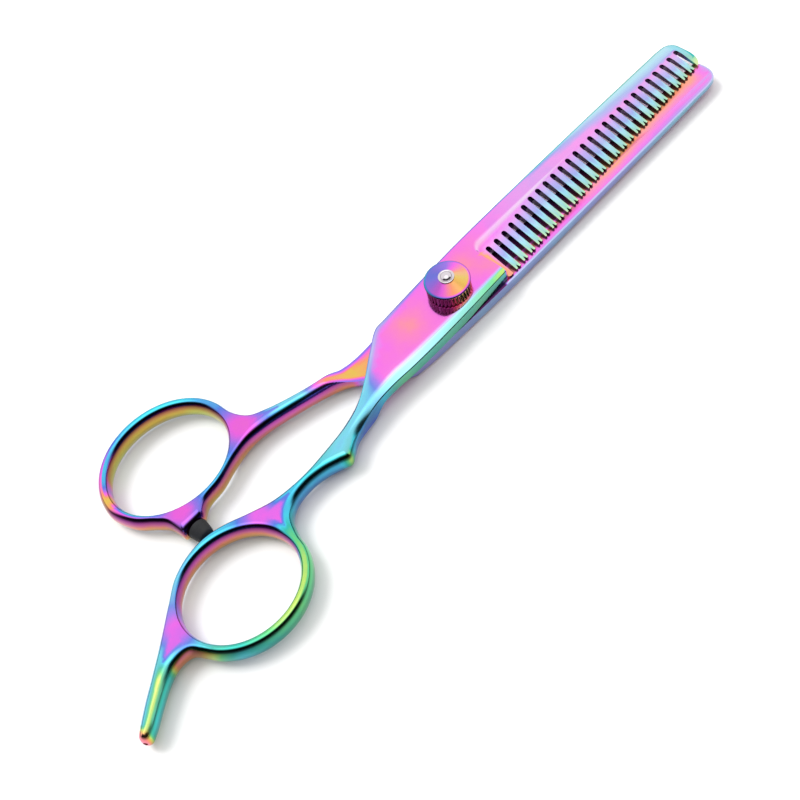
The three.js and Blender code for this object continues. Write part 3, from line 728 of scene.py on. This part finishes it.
def paint_comb():
    co, index, normal = corners(comb_half)
    d, on_hole, angle, wall, web, height, place, turn = handle_parts(
        co, index, normal, comb_forged, FINGER_RING, ((-57.5, -5.8, 3.8), (-82.5, -10.5, 4.2)))
    x, y = co[index, :2].T
    towards, up = normal @ TOWARDS_VIEWER, normal[:, 2]
    # finger ring, shank and tang
    ring = smoothstep(x, -50, -56)
    right, low = lobe(angle, -45), lobe(angle, -130)
    green = lerp(0.22, 0.31, smoothstep(up, 0.75, 0.97))
    top = 0.57 + 0.04 * smoothstep(x, -50, -38) + ring * (green * right + 0.10 * low)
    top -= 0.06 * smoothstep(-towards, 0.3, 0.8)
    top = lerp(top, 0.28, web * (1 - 0.85 * smoothstep(x, -52, -46)))
    outer_wall = lerp(0.44, 0.56, height) + ring * (0.24 * right + 0.10 * low)
    under_web = lobe(angle, -172, 12) * smoothstep(x, -77, -80) * smoothstep(x, -90, -87)
    outer_wall = lerp(outer_wall, 0.95 + 0.17 * height, under_web)
    hole_wall = along(height, (0.2, 0.04), (0.55, 0.14), (0.85, 0.30)) - 0.07 * lobe(angle, 40, 3)
    handles = lerp(top, np.where(on_hole, hole_wall, outer_wall), wall)
    side = ((x - TANG_END[0]) * 0.56 - (y - TANG_END[1]) * 0.83) / 1.6
    tang_hue = along(side, (-1, 0.42), (-0.75, 0.5), (-0.4, 0.60), (-0.1, 0.68), (0.1, 0.87), (0.35, 0.91),
                     (0.6, 0.74), (1, 0.65))
    tang_hue = lerp(tang_hue, 1.1, smoothstep(x, -98.5, -100.2))
    handles = lerp(handles, tang_hue, smoothstep(x, -87, -92))
    # Painted highlight: the hue turns lime round the heel corner.
    corner = spot(x, y, *HEEL, math.sqrt(1.8)) * smoothstep(up, 0.95, 0.6)
    handles = handles + 0.3 * corner
    # Painted light and shade on the finger handle: walls facing the viewer are painted darker towards their
    # top, the turn band near-black (painted dark reflection), and the ring's upper left and the neck lighter
    # on top (painted highlight).
    wall_tone = along(height, (0.25, 0.05), (0.5, 0.25), (0.75, 0.55)) * smoothstep(x, -92, -87)
    wall_tone = wall_tone * (1 - 0.8 * right)
    wall_tone = lerp(wall_tone, along(height, (0.25, -0.1), (0.5, 0.12), (0.75, 0.6)), on_hole)
    neck = smoothstep(x, -47, -37)
    handle_tone = wall_tone * wall + 0.7 * turn
    handle_tone -= (0.15 * ring * lobe(angle, 150) * (1 - web) + 0.16 * neck) * (1 - wall) * (1 - turn)
    # faces of the blade and body
    spine_run = np.maximum(0, SPINE_Y - y)
    cool = np.clip(1 - spine_run / along(x, (24, 0.2), (38, 1.6), (55, 3.8), (74, 6.5)), 0, 1) ** 0.8
    faces = 0.272 + (0.37 + 0.03 * smoothstep(x, 60, 74)) * cool * smoothstep(x, 22, 34)
    for px, py, reach in ((5.6, 1.6, 3.2), (-11, 0.5, 4.0), (9, -2.8, 2.5)):
        faces -= 0.10 * spot(x, y, px, py, reach)
    # The tone of the blade's faces, carried as painted light: painted paler towards the tip and on the ground
    # faces of the teeth.
    painted_light_tone = -0.05 - 0.28 * cool * smoothstep(x, 30, 50) - 0.2 * smoothstep(x, 6, 30)
    # ground faces of the teeth
    length = np.clip((y - tip_line_y(x)) / (slot_root_y(x) - tip_line_y(x)), 0, 1.2)
    teeth = along(length, (0, 0.84), (0.07, 0.68), (0.25, 0.60), (0.5, 0.53), (0.75, 0.40), (1.05, 0.28))
    teeth_tone = along(length, (0, -0.35), (0.1, -0.25), (0.45, -0.42), (0.8, -0.4), (1.1, -0.2))
    on_teeth = (x > COMB_START_X + 0.1) & (length < 1.1)
    faces = np.where(on_teeth, teeth, faces)
    painted_light_tone = np.where(on_teeth, teeth_tone, painted_light_tone)
    share = recess_share(x, y)
    # Painted highlight: a lighter band along the soft step of the recess.
    painted_light_tone = painted_light_tone - 1.6 * share * (1 - share) * smoothstep(x, 42, 26) * (x > COMB_START_X - 0.3) * (up > 0.5)
    end = smoothstep(x, 72.8, 73.4)
    faces = lerp(faces, 0.64 + 0.26 * smoothstep(y, 1.5, -1.5), end)
    painted_light_tone = lerp(painted_light_tone, -0.3, end)
    strip = (x > COMB_START_X - 0.05) & (x < 11.5) & (y < 1.6)
    faces, painted_light_tone = np.where(strip, 0.08, faces), np.where(strip, -0.05, painted_light_tone)
    faces = lerp(faces, 0.6, smoothstep(x, -21.5, -27.5))
    spine = on_spine(*place.T)
    spine_edge = smoothstep(d, lerp(1.7, 0.62, smoothstep(x, -14, 4)), 0.3) * spine * (up > 0.1)
    faces = lerp(faces, along(x, (-27, 0.6), (-19, 0.44), (10, 0.47), (30, 0.62), (60, 0.66)), spine_edge)
    # Painted light on the spine's rounded edge: lighter on its crown towards the heel (painted highlight),
    # and a near-black line along its outer brink (painted dark reflection).
    spine_tone = along(x, (-28, -0.1), (-20, -0.45), (-8, -0.1), (10, 0.1))
    painted_light_tone = lerp(painted_light_tone, spine_tone, spine_edge * smoothstep(up, 0.8, 0.95))
    painted_light_tone = painted_light_tone + 0.8 * spine * smoothstep(d, 0.3, 0.05) * smoothstep(x, -18, -14) * smoothstep(x, 72, 69)
    # bevel and wall on the lower side of the body
    lower = ~spine & (x < COMB_START_X - 0.01) & (up > -0.5)
    width = lower_bevel(x)
    sloped = lower * smoothstep(d / width, 0.86, 0.5)
    bevel = along(x, (-27, 0.61), (-20, 0.64), (-10, 0.67), (0, 0.71), (6, 0.76), (9.8, 0.87))
    faces = lerp(faces, bevel, sloped)
    # Painted highlight: the bevel is painted paler, with a lighter line along it, and its wall a little
    # paler.
    painted_light_tone = lerp(painted_light_tone, along(x, (-30, -0.12), (-15, -0.34), (0, -0.2), (9, 0)), sloped)
    painted_light_tone = painted_light_tone - 0.4 * lower * np.exp(-((d / width - 0.72) / 0.16) ** 2) * smoothstep(x, -28, -21)
    lower_wall = along(x, (-34, 0.60), (-26, 0.64), (-20, 0.76), (-12, 0.72), (4, 0.69), (9, 0.64))
    on_wall = lower * smoothstep(up, 0.7, 0.4)
    faces = lerp(faces, lower_wall, on_wall)
    painted_light_tone = lerp(painted_light_tone, -0.08, on_wall)
    # Painted shade: the walls between the teeth are painted near-black, and the underside of the teeth darker
    # where it lies over the other half.
    blade = smoothstep(x, -31, -22)
    in_slot = (abs(up) < 0.3) & (x > COMB_START_X) & (d > 0.5)
    below = up < -0.5
    hue = lerp(handles, np.where(below, 0.27, faces), blade)
    tone = lerp(handle_tone, np.where(below, 0.3 * (x > 10), painted_light_tone), blade)
    paint(comb_half, "hue", np.where(in_slot, 0.35, hue))
    paint(comb_half, "tone", np.where(in_slot, along(length, (0, 0.97), (0.9, 0.93)), tone))


def paint_straight():
    co, index, normal = corners(straight_half)
    d, on_hole, angle, wall, web, height, _, turn = handle_parts(
        co, index, normal, straight_forged, THUMB_RING, ((-46.5, 10.8, 4.6), (-66.5, 6.6, 3.8)))
    x, y = co[index, :2].T
    up = normal[:, 2]
    # thumb ring and shank
    ring = smoothstep(x, -44, -50)
    top = lerp(0.57, 0.25, web)
    top = lerp(top, 0.20, ring * lobe(angle, 165, 3) * (1 - on_hole))
    outer_wall = along(height, (0.1, 0.04), (0.45, 0.12), (0.85, 0.30)) - 0.10 * ring * lobe(angle, -90)
    hole_wall = along(height, (0.2, -0.08), (0.6, -0.02), (0.8, 0.08), (0.95, 0.2))
    handles = lerp(top, np.where(on_hole, hole_wall, outer_wall), wall)
    # Painted highlight: a gold spot on the far left of the thumb ring.
    handles = lerp(handles, 0.0, spot(x, y, -73.4, 19.4, 2.2))
    # Painted light and shade on the thumb handle: walls facing the viewer are painted darker towards their
    # top, the turn band near-black (painted dark reflection), the webs a little darker, and the shank's top
    # lighter (painted highlight).
    wall_tone = lerp(along(height, (0.25, -0.05), (0.5, 0.25), (0.75, 0.62)),
                     along(height, (0.25, -0.15), (0.5, 0.08), (0.75, 0.6)), on_hole)
    handle_tone = wall_tone * wall + 0.75 * turn + 0.12 * web * (1 - wall)
    handle_tone -= 0.15 * (1 - wall) * (1 - web) * smoothstep(x, -48, -40)
    # faces of the blade
    across = np.clip((tip_line_y(x) - y) / (tip_line_y(x) + 6.75), 0, 1)
    warm = smoothstep(x, 20, 45)
    strip = lerp(0.25, along(across, (0, 0.07), (0.3, 0.11), (0.6, 0.22), (1, 0.32)), warm)
    strip = lerp(strip, 0.27, smoothstep(x, 70, 73))
    # Painted highlight: a paler line along the edge of the blade.
    brink = smoothstep(d, 0.42, 0.25)
    strip = lerp(strip, 0.44, brink)
    strip_tone = -0.12 - 0.35 * brink
    # Painted shade: the face under the comb half is painted dark, deepening away from the tips, and so is the
    # covered lower strip nearer the pivot.
    covered = smoothstep(y - tip_line_y(x), -0.1, 0.5) * (x > 9)
    under = along(y - tip_line_y(x), (0, 0.03), (2, 0.10), (5, 0.30))
    under_tone = along(y - tip_line_y(x), (0, 0.6), (1, 0.72), (3, 0.78))
    top_hue = np.where(x > 9, lerp(strip, under, covered), 0.25)
    top_tone = np.where(x > 9, lerp(strip_tone, under_tone, covered), 0.85 * smoothstep(y, -4.5, -5.2))
    hue = np.where(up > 0.9, top_hue, 0.46 + 0.08 * smoothstep(x, 40, 74))
    tone = np.where(up > 0.9, top_tone, -0.3)
    hue = np.where(up < -0.5, 0.27, hue)
    # the slope under the pivot end of the comb half
    slope = smoothstep(x, -35, -30) * smoothstep(x, -14.5, -16.5) * (up > 0.5)
    rising = along(x, (-35, 0.28), (-31, 0.15), (-28, 0.05), (-24, 0.0), (-19, 0.08), (-16, 0.2))
    rising = lerp(rising, 0.40, smoothstep(d, 1.3, 0.2))
    base = lerp(handles, hue, smoothstep(x, -26, -24))
    paint(straight_half, "hue", lerp(base, rising, slope))
    paint(straight_half, "tone", lerp(lerp(handle_tone, tone, smoothstep(x, -26, -24)), 0, slope))


def paint_dial():
    co, index, normal = corners(dial)
    x, y, z = co[index].T
    r = np.hypot(x, y)
    angle = np.degrees(np.arctan2(y, x))
    swirl = along(angle, (-180, 0.32), (-155, 0.27), (-135, 0.16), (-110, 0.09), (-90, 0.06), (-50, 0.0),
                  (-20, 0.07), (5, 0.18), (45, 0.38), (80, 0.42), (110, 0.44), (135, 0.43), (160, 0.38),
                  (180, 0.32))
    shade = along(angle, (-180, 0.3), (-150, 0.45), (-110, 0.35), (-70, 0.0), (-30, -0.15), (0, -0.05),
                  (90, 0.2), (135, 0.15), (180, 0.3))
    cap = lerp(swirl, 0.5 + 0.12 * np.cos(np.radians(angle - 150)), smoothstep(r, 4.0, 4.5) * 0.85)
    # Painted light and shade on the grip: near-black, except the side facing the light, which is painted
    # lighter and gold.
    facing = np.cos(np.radians(angle + 75))
    grip = along(facing, (-1, 0.15), (0.5, 0.15), (0.9, 0.02))
    on_grip = z < 5.62
    shade = shade + 0.55 * smoothstep(r, 4.34, 4.48)
    paint(dial, "hue", np.where(on_grip, grip, cap))
    paint(dial, "tone", np.where(on_grip, along(facing, (-1, 0.9), (0.5, 0.8), (0.88, 0.12)), shade))


paint_comb()
paint_straight()
paint_dial()


# ---- materials ----
class Nodes:
    """Short names for building the node tree of a material or a world."""

    def __init__(self, owner):
        owner.use_nodes = True
        self.owner, self.tree = owner, owner.node_tree

    def add(self, kind, inputs=(), **settings):
        node = self.tree.nodes.new(kind)
        for key, value in settings.items():
            setattr(node, key, value)
        for key, value in dict(inputs).items():
            self.put(node.inputs[key], value)
        return node

    def put(self, socket, value):
        """Links or sets an input."""
        if isinstance(value, bpy.types.NodeSocket):
            self.tree.links.new(value, socket)
        else:
            socket.default_value = value

    def math(self, operation, a, b=0.0, clamp=False):
        return self.add("ShaderNodeMath", {0: a, 1: b}, operation=operation, use_clamp=clamp).outputs[0]

    def noise(self, scale, detail=3.0, stretch=None, vector=None):
        place = vector or self.add("ShaderNodeTexCoord").outputs["Object"]
        if stretch:
            place = self.add("ShaderNodeMapping", {"Vector": place, "Scale": stretch}).outputs[0]
        inputs = {"Vector": place, "Scale": scale, "Detail": detail}
        return self.add("ShaderNodeTexNoise", inputs).outputs["Fac"]

    def spread(self, value, low, high):
        """Maps 0.3 to 0.7, where noise mostly lies, onto a range."""
        return self.add("ShaderNodeMapRange", {0: value, 1: 0.3, 2: 0.7, 3: low, 4: high}).outputs[0]

    def mix(self, share, a, b, blend="MIX"):
        node = self.add("ShaderNodeMix", data_type="RGBA", blend_type=blend)
        for key, value in zip((0, 6, 7), (share, a, b)):
            self.put(node.inputs[key], value)
        return node.outputs[2]

    def bump(self, height, distance, strength=1.0, under=None):
        inputs = {"Height": height, "Distance": distance, "Strength": strength}
        if under:
            inputs["Normal"] = under
        return self.add("ShaderNodeBump", inputs).outputs[0]

    def finish(self, **inputs):
        for key, value in inputs.items():
            self.put(self.tree.nodes["Principled BSDF"].inputs[key.replace("_", " ")], value)
        return self.owner


def linear(r, g, b):
    """Colour from screen values of 0 to 255."""
    light = [c / 255 / 12.92 if c <= 10 else ((c / 255 + 0.055) / 1.055) ** 2.4 for c in (r, g, b)]
    return (*light, 1.0)


def ramp_node(nodes, value, stops):
    node = nodes.add("ShaderNodeValToRGB", {0: value})
    band = node.color_ramp
    while len(band.elements) < len(stops):
        band.elements.new(0.5)
    for element, (place, colour) in zip(band.elements, stops):
        element.position = place
        element.color = colour
    return node.outputs[0]


TENT = 1.3  # brightness of the white surroundings


def coating(r, g, b):
    """Reflectance that looks like a screen colour when it reflects the white surroundings."""
    return tuple(c / TENT for c in linear(r, g, b)[:3]) + (1.0,)


GOLD, PEACH, PINK = coating(236, 200, 90), coating(255, 158, 120), coating(255, 130, 195)
MAGENTA, VIOLET, BLUE = coating(250, 108, 236), coating(168, 122, 240), coating(95, 132, 232)
CYAN, TEAL = coating(80, 212, 238), coating(66, 196, 178)
GREEN, LIME = coating(112, 216, 138), coating(208, 238, 116)


def coated_metal(name, roughness=0.12):
    """Mirror-polished steel under an iridescent coating, whose thickness is the painted hue."""
    n = Nodes(bpy.data.materials.new(name))
    hue = n.add("ShaderNodeAttribute", attribute_name="hue").outputs["Fac"]
    drift = n.spread(n.noise(55, 2), -0.045, 0.045)
    mottle = n.spread(n.noise(420, 3), -0.012, 0.012)
    facing = n.add("ShaderNodeLayerWeight", {"Blend": 0.3}).outputs["Facing"]
    tilt = n.math("MULTIPLY", facing, 0.05)
    total = n.math("ADD", n.math("ADD", hue, drift), n.math("ADD", mottle, tilt))
    cycle = n.math("FRACT", n.math("ADD", total, 1.0))
    colour = ramp_node(n, cycle, [
        (0.0, GOLD), (0.10, PEACH), (0.18, PINK), (0.27, MAGENTA), (0.39, VIOLET), (0.49, BLUE), (0.60, CYAN),
        (0.70, TEAL), (0.80, GREEN), (0.90, LIME), (1.0, GOLD)])
    tone = n.add("ShaderNodeAttribute", attribute_name="tone").outputs["Fac"]
    # The tone paints light and shade: above 0 it mixes towards near-black (painted shade), below 0 towards
    # near-white (painted highlight).
    colour = n.mix(n.math("MULTIPLY", tone, 1.0, clamp=True), colour, linear(22, 8, 28))
    colour = n.mix(n.math("MULTIPLY", tone, -1.0, clamp=True), colour, (0.76, 0.77, 0.78, 1.0))
    # Sharp convex edges are mixed a little towards light steel.
    point = n.add("ShaderNodeNewGeometry").outputs["Pointiness"]
    sharp_edge_lightening = n.add("ShaderNodeMapRange", {0: point, 1: 0.56, 2: 0.66, 3: 0.0, 4: 0.12}).outputs[0]
    colour = n.mix(sharp_edge_lightening, colour, linear(235, 232, 238))
    smear = n.spread(n.noise(160, 4), 0.0, 0.05)
    polish_lines = n.noise(900, 2, (1.0, 14.0, 6.0))
    waves = n.noise(240, 1)
    normal = n.bump(polish_lines, 0.0000012, 0.5)
    normal = n.bump(waves, 0.000012, 0.35, normal)
    return n.finish(Base_Color=colour, Metallic=1.0, Roughness=n.math("ADD", smear, roughness), Normal=normal)


def bare_steel(name, colour, roughness, lines=(1.0, 1.0, 30.0)):
    n = Nodes(bpy.data.materials.new(name))
    grain = n.noise(1500, 3, lines)
    cloud = n.noise(300, 2)
    tint = n.mix(n.spread(cloud, 0, 0.35), colour, tuple(c * 0.8 for c in colour[:3]) + (1.0,))
    brushed = n.spread(grain, roughness * 0.7, roughness * 1.4)
    return n.finish(Base_Color=tint, Metallic=1.0, Roughness=brushed, Normal=n.bump(grain, 0.000004, 0.4))


def moulded(name, colour, roughness, grain_scale, grain_depth, speck):
    n = Nodes(bpy.data.materials.new(name))
    grain = n.noise(grain_scale, 4)
    cloud = n.noise(grain_scale / 8, 2)
    tint = n.mix(n.spread(cloud, 0, 1), colour, speck)
    return n.finish(Base_Color=tint, Roughness=n.spread(cloud, roughness * 0.85, min(1, roughness * 1.2)),
                    Normal=n.bump(grain, grain_depth, 0.6))


coated = coated_metal("coated_steel")
coated_dial = coated_metal("coated_dial", 0.14)
plain_steel = bare_steel("plain_steel", coating(228, 220, 226), 0.09)
spring_steel = bare_steel("spring_steel", coating(150, 150, 154), 0.3)
nylon = moulded("nylon", linear(236, 233, 224), 0.45, 2500, 0.000006, linear(224, 219, 205))
rubber = moulded("rubber", linear(15, 16, 18), 0.66, 3200, 0.00002, linear(25, 26, 29))

for piece, node, ride_on, slot, material in (
        (comb_half, "comb_half", "comb_side", "coated_steel", coated),
        (straight_half, "straight_half", "straight_side", "coated_steel", coated),
        (dial, "dial_nut", "dial", "coated_dial", coated_dial),
        (bolt, "pivot_bolt", "straight_side", "plain_steel", plain_steel),
        (screw, "retaining_screw", "straight_side", "plain_steel", plain_steel),
        (bumper, "bumper", "straight_side", "rubber", rubber),
        (washer, "friction_washer", "straight_side", "nylon", nylon),
        (bush, "pivot_bush", "comb_side", "nylon", nylon),
        (spring, "disc_spring", "straight_side", "spring_steel", spring_steel),
        (plate, "click_plate", "straight_side", "spring_steel", spring_steel)):
    piece.data.materials.clear()
    piece.data.materials.append(material)
    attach(piece, ride_on)
    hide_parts(node)

# ---- floor, light and camera ----
floor_mesh = bpy.data.meshes.new("floor")
reach = 3.0
floor_mesh.from_pydata([(-reach, -reach, 0), (reach, -reach, 0), (reach, reach, 0), (-reach, reach, 0)], [],
                       [(0, 1, 2, 3)])
floor = bpy.data.objects.new("floor", floor_mesh)
bpy.context.collection.objects.link(floor)
floor_look = Nodes(bpy.data.materials.new("floor"))
# Reflections see the floor darken towards the horizon, as a small sweep in a dark room does.
across_floor = floor_look.add("ShaderNodeLayerWeight", {"Blend": 0.5}).outputs["Facing"]
far_floor = floor_look.add("ShaderNodeMapRange", {0: across_floor, 1: 0.5, 2: 0.98, 3: 0.0, 4: 1.0},
                           interpolation_type="SMOOTHSTEP").outputs[0]
seen = floor_look.add("ShaderNodeLightPath").outputs["Is Camera Ray"]
dimmed = floor_look.math("MULTIPLY", far_floor, floor_look.math("SUBTRACT", 1.0, seen))
floor_colour = floor_look.mix(dimmed, (0.74, 0.74, 0.74, 1), (0.15, 0.15, 0.15, 1))
floor_mesh.materials.append(floor_look.finish(
    Base_Color=floor_colour, Roughness=0.9, Specular_IOR_Level=0.0,
    Emission_Color=floor_colour, Emission_Strength=0.08))
floor.location.z = -0.00005

VIEW_AZIMUTH, VIEW_ELEVATION, VIEW_ROLL = -31.11, 55.98, -18.34  # degrees
VIEW_DISTANCE, LENS = 0.3255, 78.26
VIEW_TARGET = Vector((-0.0231, -0.00794, 0.0029))

azimuth, elevation = math.radians(VIEW_AZIMUTH), math.radians(VIEW_ELEVATION)
back = Vector((math.sin(azimuth) * math.cos(elevation), -math.cos(azimuth) * math.cos(elevation),
               math.sin(elevation)))
camera = bpy.data.objects.new("camera", bpy.data.cameras.new("camera"))
bpy.context.collection.objects.link(camera)
camera.data.lens, camera.data.sensor_width = LENS, 36
camera.data.clip_start = 0.01
camera.rotation_mode = "QUATERNION"
camera.location = VIEW_TARGET + back * VIEW_DISTANCE
roll = Matrix.Rotation(math.radians(VIEW_ROLL), 3, "Z").to_quaternion()
camera.rotation_quaternion = (-back).to_track_quat("-Z", "Y") @ roll
bpy.context.scene.camera = camera

# The surroundings are a white tent with a bright panel overhead, and a dark gap on the viewer's side.
PANEL, GAP = 2.1, 0.02
PANEL_LEAN, PANEL_INNER, PANEL_OUTER = 4, 17, 30  # degrees, the lean towards the viewer
GAP_TOP, GAP_FADE, GAP_FOOT = 68, 36, 2  # elevations in degrees

world = bpy.data.worlds.new("studio")
bpy.context.scene.world = world
sky = Nodes(world)


def step_down(value, start, end):
    return sky.add("ShaderNodeMapRange", {0: value, 1: start, 2: end, 3: 1.0, 4: 0.0},
                   interpolation_type="SMOOTHSTEP").outputs[0]


def along_direction(direction, axis):
    return sky.add("ShaderNodeVectorMath", {0: direction, 1: axis}, operation="DOT_PRODUCT").outputs["Value"]


direction = sky.add("ShaderNodeTexCoord").outputs["Generated"]
rise = sky.add("ShaderNodeSeparateXYZ", {0: direction}).outputs["Z"]
toward = Vector((back.x, back.y, 0)).normalized()
lean = math.radians(PANEL_LEAN)
panel_axis = Vector((0, 0, math.cos(lean))) + toward * math.sin(lean)
off_panel = sky.math("ARCCOSINE", along_direction(direction, panel_axis))
panel = step_down(off_panel, math.radians(PANEL_INNER), math.radians(PANEL_OUTER))
facing = along_direction(direction, toward)
below_top = step_down(rise, math.sin(math.radians(GAP_FADE)), math.sin(math.radians(GAP_TOP)))
above_foot = sky.math("SUBTRACT", 1.0, step_down(rise, 0.0, math.sin(math.radians(GAP_FOOT))))
off_side = sky.math("SUBTRACT", 1.0, step_down(facing, 0.05, 0.35))
gap = sky.math("MULTIPLY", sky.math("MULTIPLY", below_top, above_foot), off_side)
reflected = sky.math("SUBTRACT", 1.0, sky.add("ShaderNodeLightPath").outputs["Is Camera Ray"])
gap = sky.math("MULTIPLY", gap, reflected)  # the gap is seen in reflections, not in the background
light = sky.math("ADD", TENT, sky.math("MULTIPLY", panel, PANEL - TENT))
open_light = sky.math("MULTIPLY", light, sky.math("SUBTRACT", 1.0, gap))
light = sky.math("ADD", open_light, sky.math("MULTIPLY", gap, GAP))
sky.put(sky.tree.nodes["Background"].inputs["Color"], light)

sun = bpy.data.objects.new("key", bpy.data.lights.new("key", "SUN"))
bpy.context.collection.objects.link(sun)
sun.data.energy, sun.data.angle = 2.2, math.radians(28)
sun.visible_glossy = False
sun.rotation_mode = "QUATERNION"
sun.rotation_quaternion = Vector((0.35, -0.75, -1.2)).to_track_quat("-Z", "Y")

bpy.context.scene.view_settings.view_transform = "Standard"
